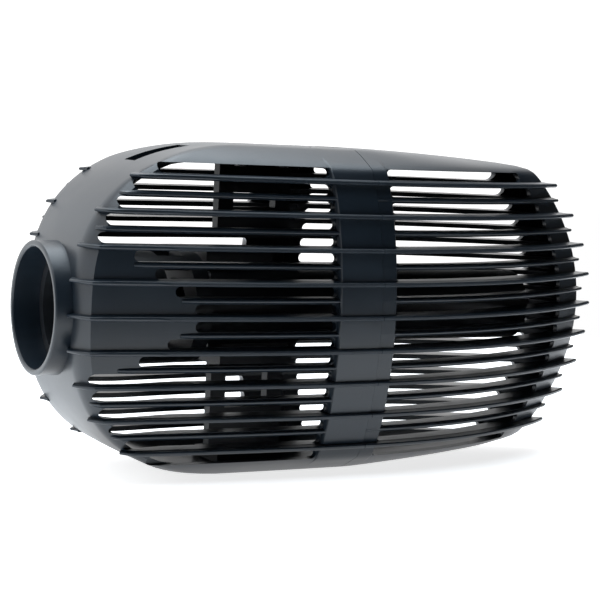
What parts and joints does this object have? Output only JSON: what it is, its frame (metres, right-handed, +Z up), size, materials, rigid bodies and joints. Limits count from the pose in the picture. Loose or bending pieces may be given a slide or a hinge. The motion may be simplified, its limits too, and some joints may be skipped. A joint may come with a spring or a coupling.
{
  "type": "submersible circulation pump",
  "caption": "Submersible pond pump in a finned two-part strainer cage with a round outlet collar, lift-off rear shell and axial impeller.",
  "frame": {"origin": "centre of the outlet collar's rim", "axes": "+X along the outlet axis from the rim towards the rear shell, +Z up, Y across the cage"},
  "size_m": [0.323, 0.116, 0.159],
  "materials": {
    "cage_plastic": "satin moulded blue-black plastic",
    "pump_plastic": "satin moulded black plastic",
    "impeller_plastic": "moulded grey-blue plastic",
    "seal_rubber": "black rubber",
    "stainless": "stainless screws and pin",
    "ceramic": "polished ceramic",
    "magnet": "sintered ferrite",
    "core_steel": "laminated steel",
    "copper": "enamelled copper wire",
    "board": "green laminated circuit board"
  },
  "bodies": {
    "pump": {"front_shell": "cage_plastic", "outlet_duct": "pump_plastic", "duct_seal": "seal_rubber", "duct_screws": "stainless", "front_bushing": "ceramic", "rear_bushing": "ceramic", "rotor_well": "pump_plastic", "stator_core": "core_steel", "windings": "copper", "motor_housing": "pump_plastic", "motor_screws": "stainless", "motor_seal": "seal_rubber", "driver_board": "board", "motor_end_cap": "pump_plastic", "end_cap_screws": "stainless", "cable_gland": "seal_rubber", "lower_cradle": "pump_plastic", "cradle_pad": "seal_rubber", "upper_bracket": "pump_plastic", "bracket_screws": "stainless", "lever_pin": "stainless"},
    "rotor": {"impeller": "impeller_plastic", "impeller_cap": "impeller_plastic", "shaft": "ceramic", "front_thrust_washer": "ceramic", "rear_thrust_washer": "ceramic", "rotor_magnet": "magnet"},
    "rear_cage": {"rear_shell": "cage_plastic"},
    "release_lever": {"release_lever": "cage_plastic"}
  },
  "joints": [
    {"name": "rotor_spin", "type": "hinge", "parent": "pump", "child": "rotor", "pos_m": [0.05, 0, 0], "axis": [1, 0, 0], "continuous": true},
    {"name": "rear_shell_off", "type": "slide", "parent": "pump", "child": "rear_cage", "axis": [1, 0, 0], "range_m": [0, 0.18]},
    {"name": "lever_press", "type": "hinge", "parent": "pump", "child": "release_lever", "pos_m": [0.15, 0, 0.072], "axis": [0, -1, 0], "range_deg": [0, 4]}
  ]
}
